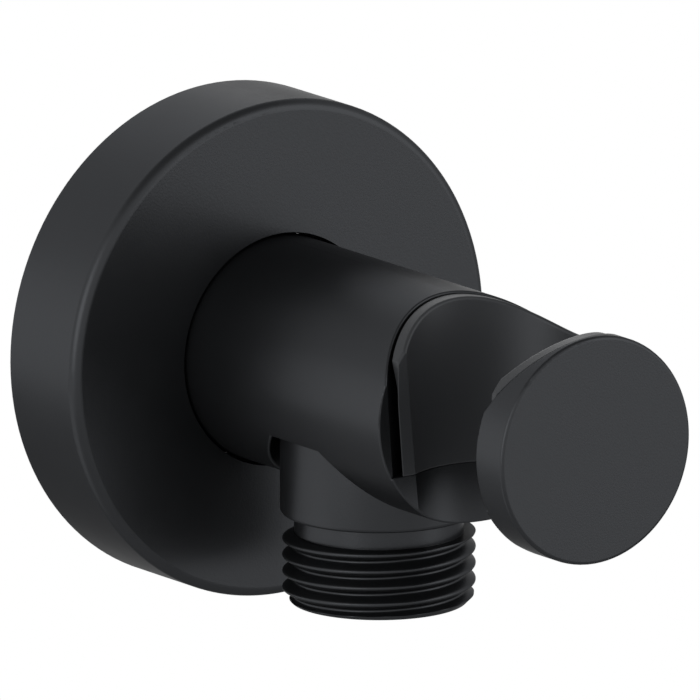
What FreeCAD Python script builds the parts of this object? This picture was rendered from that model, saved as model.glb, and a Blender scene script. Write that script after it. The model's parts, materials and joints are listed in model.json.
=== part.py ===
import FreeCAD, Part
import Sketcher
import math
import os
import re

# Wall outlet elbow with a handset cradle, in millimetres, +Z up. The wall is the plane y = 0, the
# bar stands out of it towards -Y, the hose hangs down at -Z and the cradle opens towards -X. The
# origin is the point where the bar's axis meets the wall.

SIZES = {
    # cover flange: a turned cup with a collar round its bore
    "flange_dia": 55.0,
    "flange_depth": 12.0,
    "flange_edge": 1.1,
    "flange_plate": 2.4,
    "flange_rim": 2.0,
    "flange_gap": 0.4,
    "collar_wall": 3.6,
    "collar_length": 6.5,
    "collar_ring_cord": 1.8,
    "collar_ring_inset": 3.6,
    # foam ring let into the flange's back
    "gasket_width": 4.4,
    "gasket_thickness": 3.0,
    # bar
    "body_dia": 25.0,
    "reach": 70.0,
    "body_edge": 0.4,
    "back_gap": 0.8,
    # plug-in joint between the bar and the wall nipple
    "spigot_dia": 18.0,
    "spigot_length": 15.5,
    "spigot_gap": 0.05,
    "spigot_edge": 0.6,
    "spigot_ring_cord": 1.78,
    "spigot_groove_width": 2.3,
    "ring_land": 0.15,
    "ring_pitch": 3.3,
    # wall thread
    "thread_dia": 20.955,
    "wall_thread_length": 14.0,
    "thread_chamfer": 0.9,
    "wall_bore": 9.8,
    "wall_key_across": 10.0,
    "wall_key_depth": 7.0,
    # grub screw and the groove that it bears in
    "screw_dia": 5.0,
    "screw_inset": 5.0,
    "screw_groove_depth": 0.8,
    "screw_sink": 0.3,
    "screw_tip_dia": 2.5,
    "screw_key_across": 2.5,
    "screw_key_depth": 1.8,
    # waterway in the bar
    "recess_dia": 16.0,
    "recess_depth": 1.0,
    "channel_dia": 7.5,
    "channel_rise": 4.0,
    "chamber_dia": 14.0,
    "chamber_top": 8.0,
    # outlet: well in the bar, nipple and hose thread
    "bore_wall": 2.2,
    "well_floor": 5.45,
    "well_gap": 0.97,
    "neck_dia": 21.46,
    "shank_gap": 0.2,
    "neck_end": 15.6,
    "neck_round": 1.5,
    "neck_land": 0.03,
    "undercut_width": 1.0,
    "outlet_end": 24.3,
    "outlet_ring_cord": 1.5,
    "outlet_ring_lip": 1.23,
    "outlet_bore": 11.0,
    "outlet_key_across": 12.0,
    "outlet_key_depth": 8.0,
    # cradle: a tapered pocket with a ledge, open at one side through a slot
    "cradle_x": 2.5,
    "cradle_taper": 3.0,
    "cradle_ledge": 5.9,
    "pocket_inset": 0.25,
    "face_wall": 1.45,
    "disc_thickness": 5.05,
    "slot_lip": 1.88,
    "slot_relief": 0.3,
    "cradle_edge": 0.2,
    "well_edge": 0.25,
    # liner: a thin wall that flares into a lip, cut off level with the slot
    "liner_wall": 1.0,
    "liner_flare": 0.59,
    "liner_gap": 0.38,
    "liner_sink": 0.25,
    "flare_bottom": 3.9,
    "flare_top": 6.6,
    "flare_round": 4.0,
    "leg_proud": 0.12,
    "lip_edge": 0.3,
    "foot_edge": 0.15,
    # rib round the liner's back, and the groove in the pocket that it clicks into
    "rib_drop": 4.0,
    "rib_height": 1.2,
    "rib_bite": 0.2,
    "rib_sweep": 90.0,
    "rib_gap": 0.12,
    "rib_end_gap": 5.0,
}

FULL_TURN = 360
HEX_CORNERS = 6
EDGE_POINTS = 9
CLOSE = 1e-3

# formulas that several pieces share
BODY_R = "(body_dia / 2)"
THREAD_R = "(thread_dia / 2)"
SPIGOT_R = "(spigot_dia / 2)"
BODY_BORE_R = f"({SPIGOT_R} + spigot_gap)"
FLANGE_BORE_R = f"({BODY_R} + flange_gap)"
BORE_END = "(back_gap + spigot_length)"
SCREW_SEAT_R = f"({SPIGOT_R} - screw_groove_depth)"
REAR_RING_Y = "(screw_inset + screw_dia / 2 + screw_groove_depth + ring_land + spigot_groove_width / 2)"
NECK_R = "(neck_dia / 2)"
WELL_R = f"({NECK_R} + well_gap)"
UNDERCUT_R = f"({NECK_R} - neck_round - neck_land)"
SHANK_R = f"({NECK_R} - outlet_ring_lip - outlet_ring_cord)"
OUTLET_Y = f"({BORE_END} + bore_wall + {WELL_R})"
LINER_RIM_R = f"({BODY_R} - liner_sink)"
POCKET_R = f"({BODY_R} - pocket_inset)"
LIP_R = f"({POCKET_R} - liner_gap)"
LINER_WALL_R = f"({LIP_R} - liner_flare)"
LINER_BORE_R = f"({LINER_WALL_R} - liner_wall)"
CRADLE_Y = f"(reach - face_wall - {POCKET_R})"
CRADLE_AXIS = ("-cradle_x", "0", CRADLE_Y)
SLOT_FRONT = "(reach - disc_thickness)"
SLOT_BACK = f"({CRADLE_Y} - {LINER_BORE_R} + slot_lip)"
ABOVE_ALL = "(body_dia)"

document = FreeCAD.newDocument("wall_outlet_elbow")


def write_sheet():
    """Puts each size into a cell of its own, under its name."""
    sheet = document.addObject("Spreadsheet::Sheet", "sizes")
    for row, (name, size) in enumerate(SIZES.items(), 1):
        sheet.set(f"A{row}", name)
        sheet.set(f"B{row}", str(size))
        sheet.setAlias(f"B{row}", name)
    document.recompute()
    return sheet


def formula(text):
    """The formula with each size name read from the sheet."""
    return re.sub(r"[a-z_]+", lambda word: f"sizes.{word[0]}" if word[0] in SIZES else word[0], text)


def value(text):
    """The number that a formula gives."""
    return float(SHEET.evalExpression(formula(text)))


def bind(item, path, text):
    item.setExpression(path, formula(text))


def new_body(label):
    body = document.addObject("PartDesign::Body", label)
    body.Label = label
    return body


def new_sketch(body, plane_role, name, offset=("0", "0", "0")):
    """A sketch on one of the body's own planes, moved by an offset in the plane's own directions."""
    sketch = body.newObject("Sketcher::SketchObject", name)
    plane = next(item for item in body.Origin.OriginFeatures if item.Role == plane_role)
    sketch.AttachmentSupport = [(plane, "")]
    sketch.MapMode = "FlatFace"
    for axis, text in zip("xyz", offset):
        if text != "0":
            bind(sketch, f".AttachmentOffset.Base.{axis}", text)
    return sketch


def fix_point(sketch, line, end, corner):
    """Holds one end of a line, or a circle's centre, at two formulas."""
    for kind, text in zip(("DistanceX", "DistanceY"), corner):
        index = sketch.addConstraint(Sketcher.Constraint(kind, line, end, value(text)))
        bind(sketch, f"Constraints[{index}]", text)


def add_outline(sketch, corners):
    """A closed outline of straight runs through corners that are given as formulas."""
    points = [FreeCAD.Vector(value(x), value(y), 0) for x, y in corners]
    first = sketch.GeometryCount
    for start, end in zip(points, points[1:] + points[:1]):
        sketch.addGeometry(Part.LineSegment(start, end), False)
    for number, corner in enumerate(corners):
        line = first + number
        previous = first + (number - 1) % len(corners)
        sketch.addConstraint(Sketcher.Constraint("Coincident", previous, 2, line, 1))
        fix_point(sketch, line, 1, corner)


def add_circle(sketch, centre, radius):
    middle = FreeCAD.Vector(value(centre[0]), value(centre[1]), 0)
    circle = sketch.addGeometry(Part.Circle(middle, FreeCAD.Vector(0, 0, 1), value(radius)), False)
    fix_point(sketch, circle, 3, centre)
    index = sketch.addConstraint(Sketcher.Constraint("Radius", circle, value(radius)))
    bind(sketch, f"Constraints[{index}]", radius)


def add_hexagon(sketch, centre, across):
    """A hexagon with its flats the given distance apart."""
    corners = []
    for number in range(HEX_CORNERS):
        turn = FULL_TURN / HEX_CORNERS * number
        corners.append((f"{centre[0]} + {across} / sqrt(3) * cos({turn} * 1deg)",
                        f"{centre[1]} + {across} / sqrt(3) * sin({turn} * 1deg)"))
    add_outline(sketch, corners)


def turn(body, kind, name, plane_role, axis, corners, offset, sweep):
    """A section turned about one axis of its sketch; a part turn is centred on the sketch's plane."""
    sketch = new_sketch(body, plane_role, f"{name}_section", offset)
    add_outline(sketch, corners)
    turned = body.newObject(f"PartDesign::{kind}", name)
    turned.Profile = sketch
    turned.ReferenceAxis = (sketch, [axis])
    if sweep:
        bind(turned, "Angle", sweep)
        turned.Midplane = True
    else:
        turned.Angle = FULL_TURN
    document.recompute()
    return turned


def turn_solid(body, name, plane_role, axis, corners, offset=("0", "0", "0"), sweep=None):
    return turn(body, "Revolution", name, plane_role, axis, corners, offset, sweep)


def require_less(feature, volume):
    if feature.Shape.Volume > volume - CLOSE:
        raise ValueError(f"{feature.Name} cuts nothing")


def turn_cut(body, name, plane_role, axis, corners, offset=("0", "0", "0"), sweep=None):
    volume = body.Shape.Volume
    cut = turn(body, "Groove", name, plane_role, axis, corners, offset, sweep)
    require_less(cut, volume)
    return cut


def straight_cut(body, name, sketch, depth, along_normal=False):
    """A straight cut from the sketch's plane, against its normal unless told otherwise."""
    document.recompute()
    volume = body.Shape.Volume
    cut = body.newObject("PartDesign::Pocket", name)
    cut.Profile = sketch
    cut.Type = "Length"
    bind(cut, "Length", depth)
    cut.Reversed = along_normal
    document.recompute()
    require_less(cut, volume)
    return cut


def is_ring(edge, radius, axis, place):
    """True for a circular edge of that radius whose centre lies at that place along an axis."""
    curve = edge.Curve
    return (isinstance(curve, Part.Circle) and abs(curve.Radius - radius) < CLOSE
            and abs(getattr(curve.Center, axis) - place) < CLOSE)


def lies_round(edge, radius):
    """True for an edge that lies all along on the cylinder of that radius about the bar's axis."""
    points = edge.discretize(EDGE_POINTS)
    on_cylinder = all(abs(math.hypot(point.x, point.z) - radius) < CLOSE for point in points)
    is_seam = all(abs(point.x) < CLOSE for point in points)
    return on_cylinder and not is_seam


def lies_on_taper(edge, radius):
    """True for an edge that lies all along on a cone of the cradle, given its radius at the bar's axis."""
    axis_x, axis_y = -value("cradle_x"), -value(CRADLE_Y)
    slope = math.tan(math.radians(value("cradle_taper")))
    return all(abs(math.hypot(point.x - axis_x, point.y - axis_y) - radius - point.z * slope) < CLOSE
               for point in edge.discretize(EDGE_POINTS))


def is_by_well(edge):
    """True for an edge that lies inside the well's mouth, its rounding included."""
    axis_y, mouth_r = -value(OUTLET_Y), value(f"{WELL_R} + 2 * well_edge")
    return all(point.z < 0 and math.hypot(point.x, point.y - axis_y) < mouth_r
               for point in edge.discretize(EDGE_POINTS))


def span(edge, axis):
    """The lowest and highest place of an edge along an axis."""
    places = [getattr(point, axis) for point in edge.discretize(EDGE_POINTS)]
    return min(places), max(places)


def dress_edges(body, kind, name, size, chosen):
    """A fillet or chamfer on the chosen edges of the body's last feature."""
    base = body.Tip
    names = [f"Edge{number}" for number, edge in enumerate(base.Shape.Edges, 1) if chosen(edge)]
    if not names:
        raise ValueError(f"{name} finds no edge")
    dressed = body.newObject(f"PartDesign::{kind}", name)
    dressed.Base = (base, names)
    bind(dressed, "Radius" if kind == "Fillet" else "Size", size)
    document.recompute()
    return dressed


def make_ring(label, axis_name, centre, mean_radius, cord):
    """A rubber ring of round cord, lying round the Y or the Z axis."""
    ring = document.addObject("Part::Torus", label)
    ring.Label = label
    bind(ring, "Radius1", mean_radius)
    bind(ring, "Radius2", f"{cord} / 2")
    if axis_name == "y":
        ring.Placement.Rotation = FreeCAD.Rotation(FreeCAD.Vector(1, 0, 0), 90)
    for axis, text in zip("xyz", centre):
        bind(ring, f".Placement.Base.{axis}", text)
    return ring


def make_escutcheon():
    """The cover flange, with a stepped back for the gasket and a grooved collar for its ring."""
    outer = "flange_dia / 2"
    seat = f"({outer} - flange_rim)"
    inside = f"({seat} - gasket_width)"
    collar = f"({FLANGE_BORE_R} + collar_wall)"
    plate = "(flange_depth - flange_plate)"
    body = new_body("escutcheon")
    turn_solid(body, "flange", "YZ_Plane", "H_Axis", [
        ("0", outer), ("-flange_depth", outer),
        ("-flange_depth", FLANGE_BORE_R), ("collar_length - flange_depth", FLANGE_BORE_R),
        ("collar_length - flange_depth", collar), (f"-{plate}", collar),
        (f"-{plate}", inside), ("-gasket_thickness", inside),
        ("-gasket_thickness", seat), ("0", seat)])
    groove_r = f"({BODY_R} + collar_ring_cord)"
    middle = "(flange_depth - collar_ring_inset)"
    turn_cut(body, "collar_groove", "YZ_Plane", "H_Axis", [
        (f"-{middle} - collar_ring_cord / 2", BODY_R), (f"-{middle} + collar_ring_cord / 2", BODY_R),
        (f"-{middle} + collar_ring_cord / 2", groove_r), (f"-{middle} - collar_ring_cord / 2", groove_r)])
    radius = value(outer)
    front = -value("flange_depth")
    dress_edges(body, "Fillet", "flange_round", "flange_edge",
                lambda edge: is_ring(edge, radius, "y", front))
    return body


def make_gasket():
    """The foam ring in the flange's back, flush with the wall."""
    body = new_body("wall_gasket")
    outer = "(flange_dia / 2 - flange_rim)"
    turn_solid(body, "foam_ring", "YZ_Plane", "H_Axis", [
        ("0", outer), ("-gasket_thickness", outer),
        ("-gasket_thickness", f"{outer} - gasket_width"), ("0", f"{outer} - gasket_width")])
    return body


def ring_inset(number):
    """How far a spigot ring lies from the wall; the first is the one at the rear."""
    return f"({REAR_RING_Y} + {number} * ring_pitch)"


def make_wall_nipple():
    """The nipple in the wall: hose thread size outside, key socket and bore inside, grooved spigot."""
    body = new_body("wall_nipple")
    groove_r = f"({BODY_BORE_R} - spigot_ring_cord)"
    half = "spigot_groove_width / 2"
    seat_half = "screw_dia / 2"
    outer = [("wall_thread_length", THREAD_R), ("0", THREAD_R), ("0", SPIGOT_R),
             (f"-screw_inset + {seat_half} + screw_groove_depth", SPIGOT_R),
             (f"-screw_inset + {seat_half}", SCREW_SEAT_R),
             (f"-screw_inset - {seat_half}", SCREW_SEAT_R),
             (f"-screw_inset - {seat_half} - screw_groove_depth", SPIGOT_R)]
    for number in (0, 1):
        middle = ring_inset(number)
        outer += [(f"-{middle} + {half}", SPIGOT_R), (f"-{middle} + {half}", groove_r),
                  (f"-{middle} - {half}", groove_r), (f"-{middle} - {half}", SPIGOT_R)]
    outer += [("-spigot_length - back_gap", SPIGOT_R), ("-spigot_length - back_gap", "wall_bore / 2"),
              ("wall_thread_length", "wall_bore / 2")]
    turn_solid(body, "nipple", "YZ_Plane", "H_Axis", outer)
    key = new_sketch(body, "XZ_Plane", "key_section", ("0", "0", BORE_END))
    add_hexagon(key, ("0", "0"), "wall_key_across")
    straight_cut(body, "key_socket", key, "wall_key_depth")
    thread_r = value(THREAD_R)
    spigot_r = value(SPIGOT_R)
    thread_end = value("wall_thread_length")
    spigot_end = -value(BORE_END)
    dress_edges(body, "Chamfer", "thread_chamfer", "thread_chamfer",
                lambda edge: is_ring(edge, thread_r, "y", thread_end))
    dress_edges(body, "Chamfer", "spigot_chamfer", "spigot_edge",
                lambda edge: is_ring(edge, spigot_r, "y", spigot_end))
    return body


def make_spigot_rings():
    mean_radius = f"{BODY_BORE_R} - spigot_ring_cord / 2"
    return [make_ring(f"spigot_o_ring_{place}", "y", ("0", f"-{ring_inset(number)}", "0"), mean_radius,
                      "spigot_ring_cord")
            for number, place in enumerate(("rear", "front"))]


def make_escutcheon_ring():
    return make_ring("escutcheon_o_ring", "y", ("0", "collar_ring_inset - flange_depth", "0"),
                     f"{BODY_R} + collar_ring_cord / 2", "collar_ring_cord")


def make_set_screw():
    """The grub screw under the flange: key socket outside, cone point in the spigot's groove."""
    body = new_body("set_screw")
    outer_end = f"(-{BODY_R} + screw_sink)"
    inner_end = f"(-{SCREW_SEAT_R})"
    cone = "(screw_dia - screw_tip_dia) / 2"
    turn_solid(body, "screw", "YZ_Plane", "V_Axis", [
        ("0", outer_end), ("screw_dia / 2", outer_end), ("screw_dia / 2", f"{inner_end} - {cone}"),
        ("screw_tip_dia / 2", inner_end), ("0", inner_end)], ("-screw_inset", "0", "0"))
    key = new_sketch(body, "XY_Plane", "key_section", ("0", "0", outer_end))
    add_hexagon(key, ("0", "-screw_inset"), "screw_key_across")
    straight_cut(body, "key_socket", key, "screw_key_depth", along_normal=True)
    return body


def cone_at(radius, height):
    """The radius of the cradle's taper at a height, from its radius at the bar's axis."""
    return f"({radius} + ({height}) * tan(cradle_taper * 1deg))"


def make_holder_body():
    """The bar: turned blank, waterway, outlet well, tapered cradle and its slot."""
    body = new_body("holder_body")
    turn_solid(body, "blank", "YZ_Plane", "H_Axis", [
        ("-back_gap", BODY_R), ("-reach", BODY_R), ("-reach", "0"),
        (f"-{BORE_END} - recess_depth", "0"), (f"-{BORE_END} - recess_depth", "recess_dia / 2"),
        (f"-{BORE_END}", "recess_dia / 2"), (f"-{BORE_END}", BODY_BORE_R),
        ("-back_gap", BODY_BORE_R)])
    radius = value(BODY_R)
    face = -value("reach")
    dress_edges(body, "Fillet", "face_round", "body_edge", lambda edge: is_ring(edge, radius, "y", face))
    cut_outlet_well(body)
    cut_waterway(body)
    cut_cradle(body)
    cut_slot(body)
    round_cradle(body)
    return body


def cut_outlet_well(body):
    """The well round the neck, the nipple's threaded hole and the chamber over it, on one axis."""
    turn_cut(body, "outlet_well", "YZ_Plane", "V_Axis", [
        ("0", "chamber_top"), ("chamber_dia / 2", "chamber_top"),
        ("chamber_dia / 2", "0"), (SHANK_R, "0"),
        (SHANK_R, "-well_floor"), (WELL_R, "-well_floor"),
        (WELL_R, f"-{ABOVE_ALL}"), ("0", f"-{ABOVE_ALL}")], (f"-{OUTLET_Y}", "0", "0"))
    radius = value(BODY_R)
    dress_edges(body, "Fillet", "well_round", "well_edge",
                lambda edge: lies_round(edge, radius) and is_by_well(edge))


def cut_waterway(body):
    """The raised channel from the bore's recess to the chamber, and the grub screw's hole."""
    start = f"({BORE_END} + recess_depth)"
    channel = new_sketch(body, "XZ_Plane", "channel_section", ("0", "0", start))
    add_circle(channel, ("0", "channel_rise"), "channel_dia / 2")
    straight_cut(body, "channel", channel, f"{OUTLET_Y} - {start}", along_normal=True)
    screw = new_sketch(body, "XY_Plane", "screw_section")
    add_circle(screw, ("0", "-screw_inset"), "screw_dia / 2")
    straight_cut(body, "screw_hole", screw, ABOVE_ALL)


def cut_cradle(body):
    """The tapered pocket for the liner down to its ledge, the narrower taper under it, the groove."""
    pocket_top = cone_at(POCKET_R, ABOVE_ALL)
    pocket_ledge = cone_at(POCKET_R, "-cradle_ledge")
    bore_ledge = cone_at(LINER_BORE_R, "-cradle_ledge")
    bore_end = cone_at(LINER_BORE_R, f"-{ABOVE_ALL}")
    turn_cut(body, "cradle", "XZ_Plane", "V_Axis", [
        ("0", ABOVE_ALL), (f"-{pocket_top}", ABOVE_ALL), (f"-{pocket_ledge}", "-cradle_ledge"),
        (f"-{bore_ledge}", "-cradle_ledge"), (f"-{bore_end}", f"-{ABOVE_ALL}"),
        ("0", f"-{ABOVE_ALL}")], CRADLE_AXIS)
    turn_cut(body, "rib_groove", "XZ_Plane", "V_Axis", rib_section("rib_gap"), CRADLE_AXIS,
             "rib_sweep + 2 * rib_end_gap")


def rib_section(gap):
    """The clip rib's section, from inside the liner's wall out past the pocket's, grown by a gap."""
    half = f"(rib_height / 2 + {gap})"
    tip = cone_at(POCKET_R, "-rib_drop")
    root = cone_at(LINER_BORE_R, "-rib_drop")
    root = f"({root} + liner_wall / 2)"
    return [(root, f"-rib_drop - {half}"), (f"{tip} + {gap}", f"-rib_drop - {half}"),
            (f"{tip} + rib_bite + {gap}", "-rib_drop"), (f"{tip} + {gap}", f"-rib_drop + {half}"),
            (root, f"-rib_drop + {half}")]


def slot_sketch(body, name, level, relief="0"):
    """The slot's outline at a level, widened by a relief on both sides."""
    sketch = new_sketch(body, "XY_Plane", f"{name}_section", ("0", "0", level))
    back = f"-{SLOT_BACK} + {relief}"
    front = f"-{SLOT_FRONT} - {relief}"
    add_outline(sketch, [(f"-{ABOVE_ALL}", back), ("-cradle_x", back),
                         ("-cradle_x", front), (f"-{ABOVE_ALL}", front)])
    return sketch


def cut_slot(body):
    """The slot that lets the hose in from the side, a little wider above the ledge than below."""
    below = slot_sketch(body, "slot_below", "-cradle_ledge")
    straight_cut(body, "slot_below", below, ABOVE_ALL)
    above = slot_sketch(body, "slot_above", "-cradle_ledge", "slot_relief")
    straight_cut(body, "slot_above", above, ABOVE_ALL, along_normal=True)


def round_cradle(body):
    """Breaks the cradle's and the slot's edges on the bar's round side."""
    radius = value(BODY_R)
    face = -value("reach - body_edge")
    under_flange = -value("flange_depth")
    dress_edges(body, "Fillet", "cradle_round", "cradle_edge",
                lambda edge: lies_round(edge, radius) and not is_by_well(edge)
                and face + CLOSE < span(edge, "y")[1] < under_flange)


def make_outlet_nipple():
    """The outlet nipple: shank in the bar, ring groove in its shoulder, neck, undercut, hose thread."""
    body = new_body("outlet_nipple")
    shoulder = "-well_floor"
    lip_r = f"({SHANK_R} + outlet_ring_cord)"
    thread_top = "-(neck_end + undercut_width)"
    turn_solid(body, "nipple", "YZ_Plane", "V_Axis", [
        ("outlet_bore / 2", "-shank_gap"), (SHANK_R, "-shank_gap"),
        (SHANK_R, f"{shoulder} - outlet_ring_cord"), (lip_r, f"{shoulder} - outlet_ring_cord"),
        (lip_r, shoulder), (NECK_R, shoulder), (NECK_R, "-neck_end"),
        (UNDERCUT_R, "-neck_end"), (UNDERCUT_R, thread_top),
        (THREAD_R, thread_top), (THREAD_R, "-outlet_end"), ("outlet_bore / 2", "-outlet_end")],
        (f"-{OUTLET_Y}", "0", "0"))
    key = new_sketch(body, "XY_Plane", "key_section", ("0", "0", "-outlet_end"))
    add_hexagon(key, ("0", f"-{OUTLET_Y}"), "outlet_key_across")
    straight_cut(body, "key_socket", key, "outlet_key_depth", along_normal=True)
    neck_r = value(NECK_R)
    neck_end = -value("neck_end")
    thread_r = value(THREAD_R)
    outlet_end = -value("outlet_end")
    dress_edges(body, "Fillet", "neck_round", "neck_round",
                lambda edge: is_ring(edge, neck_r, "z", neck_end))
    dress_edges(body, "Chamfer", "thread_chamfer", "thread_chamfer",
                lambda edge: is_ring(edge, thread_r, "z", outlet_end))
    return body


def make_outlet_ring():
    return make_ring("outlet_o_ring", "z", ("0", f"-{OUTLET_Y}", "-well_floor - outlet_ring_cord / 2"),
                     f"{SHANK_R} + outlet_ring_cord / 2", "outlet_ring_cord")


def make_liner():
    """The moulded liner: a tapered wall on the ledge that flares into a lip, cut to the bar's round."""
    body = new_body("cradle_liner")
    wall_bottom = cone_at(LINER_WALL_R, "-cradle_ledge")
    wall_top = cone_at(LINER_WALL_R, "flare_bottom")
    lip_bottom = cone_at(LIP_R, "flare_top")
    lip_top = cone_at(LIP_R, ABOVE_ALL)
    bore_bottom = cone_at(LINER_BORE_R, "-cradle_ledge")
    bore_top = cone_at(LINER_BORE_R, ABOVE_ALL)
    turn_solid(body, "wall_and_lip", "XZ_Plane", "V_Axis", [
        (f"-{bore_bottom}", "-cradle_ledge"), (f"-{wall_bottom}", "-cradle_ledge"),
        (f"-{wall_top}", "flare_bottom"), (f"-{lip_bottom}", "flare_top"),
        (f"-{lip_top}", ABOVE_ALL), (f"-{bore_top}", ABOVE_ALL)], CRADLE_AXIS)
    low_r, high_r = value(wall_top), value(lip_bottom)
    low_z, high_z = value("flare_bottom"), value("flare_top")
    dress_edges(body, "Fillet", "flare_rounds", "flare_round",
                lambda edge: is_ring(edge, low_r, "z", low_z) or is_ring(edge, high_r, "z", high_z))
    turn_solid(body, "clip_rib", "XZ_Plane", "V_Axis", rib_section("0"), CRADLE_AXIS, "rib_sweep")
    rim = new_sketch(body, "XZ_Plane", "rim_section")
    add_circle(rim, ("0", "0"), LINER_RIM_R)
    add_circle(rim, ("0", "0"), f"{ABOVE_ALL} * 2")
    straight_cut(body, "rim", rim, "reach * 2", along_normal=True)
    straight_cut(body, "slot", slot_sketch(body, "slot", f"-{ABOVE_ALL}"), f"{ABOVE_ALL} * 2",
                 along_normal=True)
    leg_x = f"(-cradle_x - sqrt({LINER_WALL_R} ^ 2 - ({CRADLE_Y} - {SLOT_BACK}) ^ 2) - leg_proud)"
    ends = new_sketch(body, "XY_Plane", "ends_section", ("0", "0", f"-{ABOVE_ALL}"))
    add_outline(ends, [(f"-{ABOVE_ALL}", "0"), (leg_x, "0"), (leg_x, "-reach"), (f"-{ABOVE_ALL}", "-reach")])
    straight_cut(body, "ends", ends, f"{ABOVE_ALL} * 2", along_normal=True)
    round_liner(body)
    return body


def round_liner(body):
    """Rounds the rim's inner edge, the tops of the two end faces and the foot's edges."""
    radius = value(LINER_RIM_R)
    bore_r = value(LINER_BORE_R)
    foot = -value("cradle_ledge")
    ends = (-value(SLOT_BACK), -value(SLOT_FRONT))

    def on_end(edge):
        low, high = span(edge, "y")
        return any(abs(low - end) < CLOSE and abs(high - end) < CLOSE for end in ends)

    def on_bore_or_end(edge):
        return lies_on_taper(edge, bore_r) or on_end(edge)

    dress_edges(body, "Fillet", "lip_round", "lip_edge",
                lambda edge: lies_round(edge, radius) and on_bore_or_end(edge))
    dress_edges(body, "Fillet", "foot_round", "foot_edge",
                lambda edge: span(edge, "z")[1] < foot + CLOSE and on_bore_or_end(edge))


def check_sound(item):
    """Stops when a feature failed or a shape is empty or broken."""
    if "Invalid" in item.State or "Error" in item.State:
        raise ValueError(f"{item.Name} failed")
    if item.Shape.isNull() or not item.Shape.isValid():
        raise ValueError(f"{item.Name} has no sound shape")


def main():
    pieces = [make_escutcheon(), make_gasket(), make_escutcheon_ring(), make_wall_nipple(),
              *make_spigot_rings(), make_set_screw(), make_holder_body(), make_outlet_nipple(),
              make_outlet_ring(), make_liner()]
    document.recompute()
    for item in document.Objects:
        if item.isDerivedFrom("Part::Feature"):
            check_sound(item)
    os.makedirs("parts", exist_ok=True)
    for piece in pieces:
        piece.Shape.exportStep(f"parts/{piece.Label}.step")
        print(piece.Label, len(piece.Shape.Solids), round(piece.Shape.Volume, 1))


SHEET = write_sheet()
main()
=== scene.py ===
import json
import math

import bpy
from mathutils import Matrix, Vector


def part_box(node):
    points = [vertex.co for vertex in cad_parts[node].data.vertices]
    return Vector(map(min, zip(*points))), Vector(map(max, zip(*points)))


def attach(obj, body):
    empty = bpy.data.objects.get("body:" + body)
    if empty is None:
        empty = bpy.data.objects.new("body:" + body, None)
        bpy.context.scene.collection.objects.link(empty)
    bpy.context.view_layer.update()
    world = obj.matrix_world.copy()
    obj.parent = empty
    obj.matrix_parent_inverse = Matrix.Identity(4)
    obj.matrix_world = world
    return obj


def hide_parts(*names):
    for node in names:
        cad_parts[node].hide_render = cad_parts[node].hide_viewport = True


# Looks of the wall outlet elbow, in metres, in the frame of the solids: +Z up, the wall at y = 0, the
# bar towards -Y, the hose outlet towards -Z.

MM = 0.001

# standard half inch pipe thread
PITCH = 1.814 * MM
FLANK_ANGLE = math.radians(27.5)
THREAD_DEPTH = 0.640327 * PITCH
THREAD_ROUND = 0.137329 * PITCH

# outlet nipple, from its axis and from the origin's height
NECK_R = 10.73 * MM
NECK_END = 14.45 * MM
NECK_ROUND = 0.45 * MM
UNDERCUT_R = 9.2 * MM
UNDERCUT_WIDTH = 2.15 * MM
SHOULDER = 5.45 * MM
SHANK_R = 8.0 * MM
RING_CORD = 1.5 * MM
OUTLET_BORE_R = 5.5 * MM
OUTLET_KEY_ACROSS = 12.0 * MM
OUTLET_KEY_DEPTH = 8.0 * MM
THREAD_CHAMFER = 0.9 * MM
OUTLET_CREST_HEIGHT = 16.35 * MM

# wall nipple, from the wall's plane, positive towards the room
SPIGOT_R = 9.0 * MM
SPIGOT_EDGE = 0.6 * MM
SPIGOT_GROOVE_R = 7.27 * MM
SPIGOT_GROOVE_WIDTH = 2.3 * MM
SPIGOT_GROOVES = (12.9 * MM, 9.6 * MM)
SCREW_GROOVE_R = 8.2 * MM
SCREW_GROOVE_MIDDLE = 5.0 * MM
SCREW_GROOVE_HALF = 2.5 * MM
WALL_BORE_R = 4.9 * MM
WALL_KEY_ACROSS = 10.0 * MM
WALL_KEY_DEPTH = 7.0 * MM
WALL_CREST_HEIGHT = 0.9 * MM

# foam ring
FOAM_WIDTH = 4.4 * MM
FOAM_ROUND = 0.5 * MM
FOAM_SINK = 0.05 * MM

# fineness of the meshes
TURN_STEPS = 288
STEPS_PER_PITCH = 26
NECK_ROUND_STEPS = 8
FOAM_ROUND_STEPS = 6
SHARP_ANGLE = math.radians(35)
HEXAGON_TURN = math.radians(60)

# camera: nearly flat view, fitted to the photograph's edges
FRAME_PIXELS = 700
PIXELS_PER_MM = 9.255
CAMERA_AZIMUTH = math.radians(-35.681)
CAMERA_ELEVATION = math.radians(13.417)
CAMERA_DISTANCE = 3.0
CAMERA_CLIP_END = 20.0
SENSOR_WIDTH = 36.0
AIM = Vector((0.0, -30.0 * MM, 0.0))
AIM_PIXEL = (377.970, 380.291)

# floor under the elbow, below what the photograph's view takes in
FLOOR_HEIGHT = -0.3
FLOOR_R = 0.95
FLOOR_THICKNESS = 0.01

# studio round the elbow: white walls, a darker ceiling, and the level that lights what isn't glossy
WALL_LEVEL = 1.0
CEILING_LEVEL = 0.3
SOFT_LEVEL = 0.8
CEILING_START = math.sin(math.radians(36))
CEILING_FULL = math.sin(math.radians(60))

# materials: the range that noise mostly fills, fineness of rounded edges, and tool marks for a metre
NOISE_LOW = 0.3
NOISE_HIGH = 0.7
BEVEL_SAMPLES = 8
MARKS_ALONG_AXIS = 9000.0
MARKS_ACROSS_AXIS = 60.0

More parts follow.
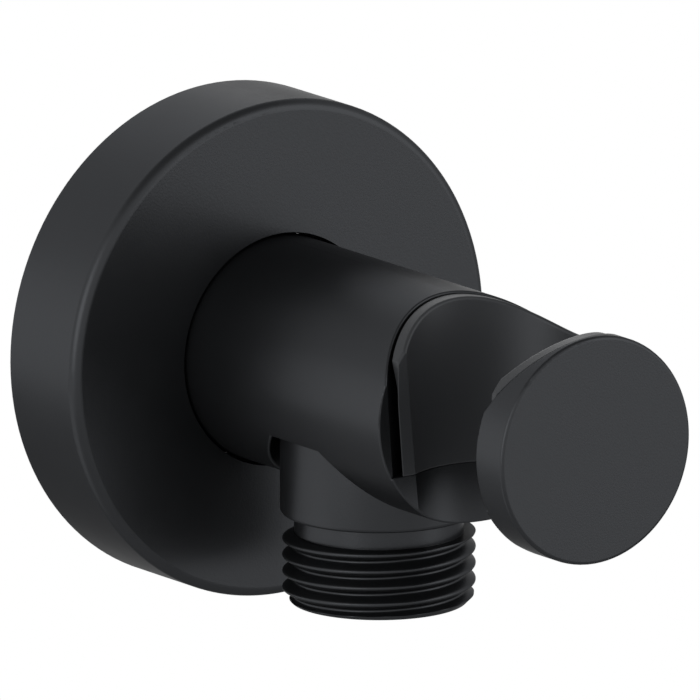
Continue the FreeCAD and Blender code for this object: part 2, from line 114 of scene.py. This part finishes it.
# soft lamps: degrees from +X towards +Y and above the horizon, distance, width, height, radiance
LAMPS = {
    "left": (196.0, 11.0, 1.6, 1.25, 1.2, 1.5),
    "low_left": (158.0, -33.0, 0.28, 0.21, 0.21, 0.6),
    "behind_left": (122.0, -5.0, 1.6, 1.2, 1.2, 0.65),
    "behind": (73.0, 21.0, 1.6, 1.2, 1.2, 1.4),
    "right_front": (311.0, 12.0, 1.6, 1.3, 1.6, 0.95),
}

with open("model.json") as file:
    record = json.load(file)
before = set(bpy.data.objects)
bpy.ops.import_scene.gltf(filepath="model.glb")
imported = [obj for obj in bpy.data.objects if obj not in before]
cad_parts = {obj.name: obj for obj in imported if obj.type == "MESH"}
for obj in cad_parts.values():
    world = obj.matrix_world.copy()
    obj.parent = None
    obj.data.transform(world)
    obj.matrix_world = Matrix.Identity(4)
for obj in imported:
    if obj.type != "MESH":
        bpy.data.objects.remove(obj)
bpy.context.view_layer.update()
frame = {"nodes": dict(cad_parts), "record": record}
nodes = frame["nodes"]
mounts = {mount["name"]: mount for mount in frame["record"]["mounts"]}


def thread_radius(shift, crest_radius):
    """The thread's radius at an axial distance from a crest's middle."""
    shift = abs((shift + PITCH / 2) % PITCH - PITCH / 2)
    half_round = THREAD_ROUND * math.cos(FLANK_ANGLE)
    if shift < half_round:
        return crest_radius - THREAD_ROUND + math.sqrt(THREAD_ROUND ** 2 - shift ** 2)
    from_root = PITCH / 2 - shift
    root = crest_radius - THREAD_DEPTH
    if from_root < half_round:
        return root + THREAD_ROUND - math.sqrt(THREAD_ROUND ** 2 - from_root ** 2)
    root_edge = root + THREAD_ROUND * (1 - math.sin(FLANK_ANGLE))
    return root_edge + (from_root - half_round) / math.tan(FLANK_ANGLE)


def hexagon_radius(angle, across):
    """The distance from a hexagon's middle to its side, at an angle."""
    return across / 2 / math.cos((angle + HEXAGON_TURN / 2) % HEXAGON_TURN - HEXAGON_TURN / 2)


def turned_mesh(name, rows, closed=True):
    """A mesh of revolution round Z. Each row gives a radius and a height for an angle."""
    angles = [2 * math.pi * step / TURN_STEPS for step in range(TURN_STEPS)]
    points = []
    for row in rows:
        for angle in angles:
            radius, height = row(angle)
            points.append((radius * math.cos(angle), radius * math.sin(angle), height))
    faces = []
    count = len(rows)
    for row in range(count if closed else count - 1):
        following = (row + 1) % count
        for step in range(TURN_STEPS):
            beside = (step + 1) % TURN_STEPS
            faces.append((row * TURN_STEPS + step, row * TURN_STEPS + beside,
                          following * TURN_STEPS + beside, following * TURN_STEPS + step))
    mesh = bpy.data.meshes.new(name)
    mesh.from_pydata(points, [], faces)
    mesh.polygons.foreach_set("use_smooth", [True] * len(mesh.polygons))
    mesh.set_sharp_from_angle(angle=SHARP_ANGLE)
    mesh.update()
    return mesh


def ring(radius, height):
    """A row with the same radius and height all round."""
    return lambda angle: (radius, height)


def hexagon(across, height):
    """A row round a hexagonal hole."""
    return lambda angle: (hexagon_radius(angle, across), height)


def thread_rows(start, end, crest_radius, crest_height, chamfer):
    """Rows down a right-hand thread, cut to a cone at its lower end."""
    steps = round(abs(start - end) / PITCH * STEPS_PER_PITCH)
    rows = []
    for step in range(steps + 1):
        height = start + (end - start) * step / steps

        def row(angle, height=height):
            shift = height - crest_height - PITCH * angle / (2 * math.pi)
            cone = crest_radius - chamfer + abs(height - end)
            return min(thread_radius(shift, crest_radius), cone), height
        rows.append(row)
    return rows


def quarter_round(radius, height, size, steps):
    """Rows round an outer lower edge, from the side down to the end face."""
    rows = []
    for step in range(steps + 1):
        turn = math.pi / 2 * step / steps
        rows.append(ring(radius - size + size * math.cos(turn), height + size - size * math.sin(turn)))
    return rows


def new_piece(name, mesh):
    piece = bpy.data.objects.new(name, mesh)
    bpy.context.scene.collection.objects.link(piece)
    return piece


def make_outlet_nipple():
    """The nipple with its real thread, and with the neck's lower edge and the undercut as the
    photograph shows them, which the solid lacks; everything else keeps the solid's form."""
    mount = mounts["hose_thread"]
    crest = mount["dims"]["r_mm"] * MM
    low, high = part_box("outlet_nipple")
    end = low.z
    top = high.z
    thread_top = -NECK_END - UNDERCUT_WIDTH
    key_top = end + OUTLET_KEY_DEPTH
    lip = SHANK_R + RING_CORD

    rows = [ring(OUTLET_BORE_R, top), ring(SHANK_R, top), ring(SHANK_R, -SHOULDER - RING_CORD),
            ring(lip, -SHOULDER - RING_CORD), ring(lip, -SHOULDER), ring(NECK_R, -SHOULDER)]
    rows += quarter_round(NECK_R, -NECK_END, NECK_ROUND, NECK_ROUND_STEPS)
    rows += [ring(UNDERCUT_R, -NECK_END), ring(UNDERCUT_R, thread_top)]
    rows += thread_rows(thread_top, end, crest, -OUTLET_CREST_HEIGHT, THREAD_CHAMFER)
    rows += [hexagon(OUTLET_KEY_ACROSS, end), hexagon(OUTLET_KEY_ACROSS, key_top),
             ring(OUTLET_BORE_R, key_top)]
    mesh = turned_mesh("outlet_nipple_threaded", rows)
    mesh.transform(Matrix.Translation((0, mount["pos_m"][1], 0)))
    piece = new_piece("outlet_nipple_threaded", mesh)
    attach(piece, "root")
    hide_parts("outlet_nipple")
    return piece


def make_wall_nipple():
    """The nipple in the wall with its real thread; its axis is turned from Z to the wall's normal."""
    crest = mounts["wall_thread"]["dims"]["r_mm"] * MM
    low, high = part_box("wall_nipple")
    wall_end = -high.y
    top = -low.y

    rows = [hexagon(WALL_KEY_ACROSS, top), ring(SPIGOT_R - SPIGOT_EDGE, top),
            ring(SPIGOT_R, top - SPIGOT_EDGE)]
    for middle in SPIGOT_GROOVES:
        upper = middle + SPIGOT_GROOVE_WIDTH / 2
        lower = middle - SPIGOT_GROOVE_WIDTH / 2
        rows += [ring(SPIGOT_R, upper), ring(SPIGOT_GROOVE_R, upper), ring(SPIGOT_GROOVE_R, lower),
                 ring(SPIGOT_R, lower)]
    upper = SCREW_GROOVE_MIDDLE + SCREW_GROOVE_HALF
    lower = SCREW_GROOVE_MIDDLE - SCREW_GROOVE_HALF
    slope = SPIGOT_R - SCREW_GROOVE_R
    rows += [ring(SPIGOT_R, upper + slope), ring(SCREW_GROOVE_R, upper), ring(SCREW_GROOVE_R, lower),
             ring(SPIGOT_R, lower - slope), ring(SPIGOT_R, 0.0)]
    rows += thread_rows(0.0, wall_end, crest, WALL_CREST_HEIGHT, THREAD_CHAMFER)
    rows += [ring(WALL_BORE_R, wall_end), ring(WALL_BORE_R, top - WALL_KEY_DEPTH),
             hexagon(WALL_KEY_ACROSS, top - WALL_KEY_DEPTH)]
    mesh = turned_mesh("wall_nipple_threaded", rows)
    mesh.transform(Matrix.Rotation(math.pi / 2, 4, "X"))
    piece = new_piece("wall_nipple_threaded", mesh)
    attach(piece, "root")
    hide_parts("wall_nipple")
    return piece


def make_foam_ring():
    """The foam ring in the flange's back, its two edges at the wall a little rounded."""
    low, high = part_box("wall_gasket")
    outer = high.x - FOAM_SINK
    inner = high.x - FOAM_WIDTH + FOAM_SINK
    back = -high.y
    front = -low.y
    rows = [ring(inner, front), ring(outer, front)]
    rows += quarter_round(outer, back, FOAM_ROUND, FOAM_ROUND_STEPS)
    for step in range(FOAM_ROUND_STEPS + 1):
        turn = math.pi / 2 * step / FOAM_ROUND_STEPS
        rows.append(ring(inner + FOAM_ROUND * (1 - math.sin(turn)),
                         back + FOAM_ROUND * (1 - math.cos(turn))))
    mesh = turned_mesh("wall_gasket_foam", rows)
    mesh.transform(Matrix.Rotation(math.pi / 2, 4, "X"))
    piece = new_piece("wall_gasket_foam", mesh)
    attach(piece, "root")
    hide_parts("wall_gasket")
    return piece


def node(tree, kind, **settings):
    made = tree.nodes.new(kind)
    for name, setting in settings.items():
        setattr(made, name, setting)
    return made


def new_material(name):
    material = bpy.data.materials.new(name)
    material.use_nodes = True
    tree = material.node_tree
    return material, tree, tree.nodes["Principled BSDF"]


def noise(tree, scale, detail=3.0):
    """Noise in the object's own metres."""
    coordinates = node(tree, "ShaderNodeTexCoord")
    made = node(tree, "ShaderNodeTexNoise")
    made.inputs["Scale"].default_value = scale
    made.inputs["Detail"].default_value = detail
    tree.links.new(coordinates.outputs["Object"], made.inputs["Vector"])
    return made


def spread(tree, source, low, high):
    """Maps noise round its middle to a range."""
    made = node(tree, "ShaderNodeMapRange")
    made.inputs["From Min"].default_value = NOISE_LOW
    made.inputs["From Max"].default_value = NOISE_HIGH
    made.inputs["To Min"].default_value = low
    made.inputs["To Max"].default_value = high
    tree.links.new(source, made.inputs["Value"])
    return made


def mix_colour(tree, source, first, second):
    made = node(tree, "ShaderNodeMix", data_type="RGBA")
    made.inputs["A"].default_value = (*first, 1)
    made.inputs["B"].default_value = (*second, 1)
    tree.links.new(source, made.inputs["Factor"])
    return made


def add_grain(tree, shader, source, distance, strength, edge):
    """Fine bumps over edges that are rounded by the given radius."""
    rounded = node(tree, "ShaderNodeBevel", samples=BEVEL_SAMPLES)
    rounded.inputs["Radius"].default_value = edge
    bump = node(tree, "ShaderNodeBump")
    bump.inputs["Distance"].default_value = distance
    bump.inputs["Strength"].default_value = strength
    tree.links.new(source, bump.inputs["Height"])
    tree.links.new(rounded.outputs["Normal"], bump.inputs["Normal"])
    tree.links.new(bump.outputs["Normal"], shader.inputs["Normal"])


def satin_black():
    """A thin satin black coat: near black, a little blue, softly glossy, with a fine even grain."""
    material, tree, shader = new_material("satin_black_metal")
    grain = noise(tree, 4800.0)
    cloud = noise(tree, 120.0)
    tone = mix_colour(tree, cloud.outputs["Fac"], (0.0385, 0.0402, 0.0430), (0.0426, 0.0443, 0.0474))
    tree.links.new(tone.outputs["Result"], shader.inputs["Base Color"])
    shader.inputs["Metallic"].default_value = 0.9
    shader.inputs["Specular IOR Level"].default_value = 0.0
    shader.inputs["Specular Tint"].default_value = (0.5, 0.5, 0.5, 1)
    gloss = spread(tree, cloud.outputs["Fac"], 0.33, 0.37)
    tree.links.new(gloss.outputs["Result"], shader.inputs["Roughness"])
    add_grain(tree, shader, grain.outputs["Fac"], 0.02 * MM, 0.5, 0.05 * MM)
    return material


def liner_plastic():
    """Moulded black plastic, a little rougher and paler than the metal's coat."""
    material, tree, shader = new_material("liner_plastic")
    grain = noise(tree, 1800.0)
    cloud = noise(tree, 90.0)
    tone = mix_colour(tree, cloud.outputs["Fac"], (0.0418, 0.0436, 0.0466), (0.0462, 0.0481, 0.0514))
    tree.links.new(tone.outputs["Result"], shader.inputs["Base Color"])
    shader.inputs["Metallic"].default_value = 0.45
    shader.inputs["Specular IOR Level"].default_value = 0.25
    shader.inputs["Specular Tint"].default_value = (0.5, 0.5, 0.5, 1)
    gloss = spread(tree, cloud.outputs["Fac"], 0.38, 0.43)
    tree.links.new(gloss.outputs["Result"], shader.inputs["Roughness"])
    add_grain(tree, shader, grain.outputs["Fac"], 0.02 * MM, 0.35, 0.22 * MM)
    return material


def turned_metal(name, dark, light, roughness, axis):
    """Bare turned metal with fine tool marks round its axis and slight patches of handling."""
    material, tree, shader = new_material(name)
    coordinates = node(tree, "ShaderNodeTexCoord")
    stretch = node(tree, "ShaderNodeMapping")
    stretch.inputs["Scale"].default_value = [MARKS_ALONG_AXIS if k == axis else MARKS_ACROSS_AXIS
                                             for k in range(3)]
    tree.links.new(coordinates.outputs["Object"], stretch.inputs["Vector"])
    marks = node(tree, "ShaderNodeTexNoise")
    marks.inputs["Scale"].default_value = 1.0
    tree.links.new(stretch.outputs["Vector"], marks.inputs["Vector"])
    cloud = noise(tree, 220.0)
    tone = mix_colour(tree, cloud.outputs["Fac"], dark, light)
    tree.links.new(tone.outputs["Result"], shader.inputs["Base Color"])
    shader.inputs["Metallic"].default_value = 1.0
    gloss = spread(tree, cloud.outputs["Fac"], *roughness)
    tree.links.new(gloss.outputs["Result"], shader.inputs["Roughness"])
    add_grain(tree, shader, marks.outputs["Fac"], 0.02 * MM, 0.25, 0.08 * MM)
    return material


def rubber():
    """Smooth black sealing rubber with a trace of grease."""
    material, tree, shader = new_material("seal_rubber")
    cloud = noise(tree, 400.0)
    grain = noise(tree, 4000.0)
    tone = mix_colour(tree, cloud.outputs["Fac"], (0.016, 0.016, 0.016), (0.021, 0.021, 0.021))
    tree.links.new(tone.outputs["Result"], shader.inputs["Base Color"])
    gloss = spread(tree, cloud.outputs["Fac"], 0.35, 0.55)
    tree.links.new(gloss.outputs["Result"], shader.inputs["Roughness"])
    add_grain(tree, shader, grain.outputs["Fac"], 0.01 * MM, 0.2, 0.05 * MM)
    return material


def foam():
    """Closed-cell foam: matt grey-black with small pits."""
    material, tree, shader = new_material("foam_rubber")
    coordinates = node(tree, "ShaderNodeTexCoord")
    cells = node(tree, "ShaderNodeTexVoronoi")
    cells.inputs["Scale"].default_value = 2600.0
    tree.links.new(coordinates.outputs["Object"], cells.inputs["Vector"])
    cloud = noise(tree, 260.0)
    tone = mix_colour(tree, cells.outputs["Distance"], (0.07, 0.07, 0.072), (0.11, 0.11, 0.113))
    tree.links.new(tone.outputs["Result"], shader.inputs["Base Color"])
    gloss = spread(tree, cloud.outputs["Fac"], 0.8, 0.95)
    tree.links.new(gloss.outputs["Result"], shader.inputs["Roughness"])
    add_grain(tree, shader, cells.outputs["Distance"], 0.12 * MM, 0.7, 0.1 * MM)
    return material


def pale_floor():
    """Plain pale paint, with a trace of unevenness."""
    material, tree, shader = new_material("pale_floor")
    cloud = noise(tree, 6.0)
    grain = noise(tree, 900.0)
    tone = mix_colour(tree, cloud.outputs["Fac"], (0.55, 0.55, 0.55), (0.58, 0.58, 0.58))
    tree.links.new(tone.outputs["Result"], shader.inputs["Base Color"])
    shader.inputs["Specular IOR Level"].default_value = 0.2
    gloss = spread(tree, cloud.outputs["Fac"], 0.8, 0.9)
    tree.links.new(gloss.outputs["Result"], shader.inputs["Roughness"])
    add_grain(tree, shader, grain.outputs["Fac"], 0.1 * MM, 0.1, 1.0 * MM)
    return material


def paint(piece, material):
    piece.data.materials.clear()
    piece.data.materials.append(material)


def make_floor():
    """A round pale floor well below the elbow."""
    mesh = turned_mesh("floor", [ring(0.0, FLOOR_HEIGHT), ring(FLOOR_R, FLOOR_HEIGHT),
                                 ring(FLOOR_R, FLOOR_HEIGHT - FLOOR_THICKNESS)], closed=False)
    piece = new_piece("floor", mesh)
    paint(piece, pale_floor())


def make_lamp(name, azimuth, elevation, distance, width, height, radiance):
    """An elliptical soft lamp that faces the elbow and that no camera sees."""
    turn, rise = math.radians(azimuth), math.radians(elevation)
    towards = Vector((math.cos(turn) * math.cos(rise), math.sin(turn) * math.cos(rise), math.sin(rise)))
    data = bpy.data.lights.new(name, "AREA")
    data.shape = "ELLIPSE"
    data.size = width
    data.size_y = height
    data.energy = radiance * math.pi * math.pi * width * height / 4
    lamp = bpy.data.objects.new(name, data)
    bpy.context.scene.collection.objects.link(lamp)
    lamp.location = AIM + towards * distance
    lamp.rotation_mode = "QUATERNION"
    lamp.rotation_quaternion = (-towards).to_track_quat("-Z", "Y")
    lamp.visible_camera = False


def make_camera():
    """The photograph's view: a camera far off, turned so that the aim lands on its own pixel."""
    azimuth, elevation = CAMERA_AZIMUTH, CAMERA_ELEVATION
    back = Vector((math.sin(azimuth) * math.cos(elevation), -math.cos(azimuth) * math.cos(elevation),
                   math.sin(elevation)))
    right = Vector((math.cos(azimuth), math.sin(azimuth), 0.0))
    up = back.cross(right)
    eye = AIM + back * CAMERA_DISTANCE
    to_middle = [(FRAME_PIXELS / 2 - AIM_PIXEL[0]) / PIXELS_PER_MM * MM,
                 (AIM_PIXEL[1] - FRAME_PIXELS / 2) / PIXELS_PER_MM * MM]
    target = AIM + right * to_middle[0] + up * to_middle[1]
    data = bpy.data.cameras.new("camera")
    data.sensor_width = SENSOR_WIDTH
    data.lens = SENSOR_WIDTH * PIXELS_PER_MM / MM * CAMERA_DISTANCE / FRAME_PIXELS
    data.clip_end = CAMERA_CLIP_END
    camera = bpy.data.objects.new("camera", data)
    bpy.context.scene.collection.objects.link(camera)
    camera.location = eye
    camera.rotation_mode = "QUATERNION"
    camera.rotation_quaternion = (target - eye).to_track_quat("-Z", "Y")
    bpy.context.scene.camera = camera


def make_world():
    """Walls and ceiling as they are seen and mirrored, and a soft even level where they only light."""
    world = bpy.data.worlds.new("studio")
    bpy.context.scene.world = world
    world.use_nodes = True
    tree = world.node_tree
    tree.nodes.clear()
    path = node(tree, "ShaderNodeLightPath")
    seen = node(tree, "ShaderNodeMath", operation="ADD")
    seen_or_mirrored = node(tree, "ShaderNodeMath", operation="ADD", use_clamp=True)
    tree.links.new(path.outputs["Is Camera Ray"], seen.inputs[0])
    tree.links.new(path.outputs["Is Glossy Ray"], seen.inputs[1])
    tree.links.new(seen.outputs[0], seen_or_mirrored.inputs[0])
    tree.links.new(path.outputs["Is Transmission Ray"], seen_or_mirrored.inputs[1])
    direction = node(tree, "ShaderNodeTexCoord")
    parts = node(tree, "ShaderNodeSeparateXYZ")
    tree.links.new(direction.outputs["Generated"], parts.inputs[0])
    ceiling = node(tree, "ShaderNodeMapRange", interpolation_type="SMOOTHSTEP")
    ceiling.inputs["From Min"].default_value = CEILING_START
    ceiling.inputs["From Max"].default_value = CEILING_FULL
    ceiling.inputs["To Min"].default_value = WALL_LEVEL
    ceiling.inputs["To Max"].default_value = CEILING_LEVEL
    tree.links.new(parts.outputs["Z"], ceiling.inputs["Value"])
    light = node(tree, "ShaderNodeBackground")
    light.inputs["Strength"].default_value = SOFT_LEVEL
    room = node(tree, "ShaderNodeBackground")
    tree.links.new(ceiling.outputs["Result"], room.inputs["Strength"])
    for background in (light, room):
        background.inputs["Color"].default_value = (1, 1, 1, 1)
    mix = node(tree, "ShaderNodeMixShader")
    tree.links.new(seen_or_mirrored.outputs[0], mix.inputs[0])
    tree.links.new(light.outputs[0], mix.inputs[1])
    tree.links.new(room.outputs[0], mix.inputs[2])
    output = node(tree, "ShaderNodeOutputWorld")
    tree.links.new(mix.outputs[0], output.inputs["Surface"])


bpy.context.scene.view_settings.view_transform = "Standard"
make_camera()
make_world()
make_floor()
for name, values in LAMPS.items():
    make_lamp(name, *values)
outlet = make_outlet_nipple()
wall_nipple = make_wall_nipple()
foam_ring = make_foam_ring()
black = satin_black()
for name in ("escutcheon", "holder_body"):
    paint(nodes[name], black)
paint(outlet, black)
paint(nodes["cradle_liner"], liner_plastic())
paint(wall_nipple, turned_metal("bare_brass", (0.68, 0.49, 0.23), (0.75, 0.56, 0.29), (0.26, 0.38), 1))
steel = turned_metal("screw_steel", (0.52, 0.52, 0.51), (0.58, 0.58, 0.57), (0.25, 0.38), 2)
paint(nodes["set_screw"], steel)
paint(foam_ring, foam())
seal = rubber()
for name in ("escutcheon_o_ring", "spigot_o_ring_front", "spigot_o_ring_rear", "outlet_o_ring"):
    paint(nodes[name], seal)
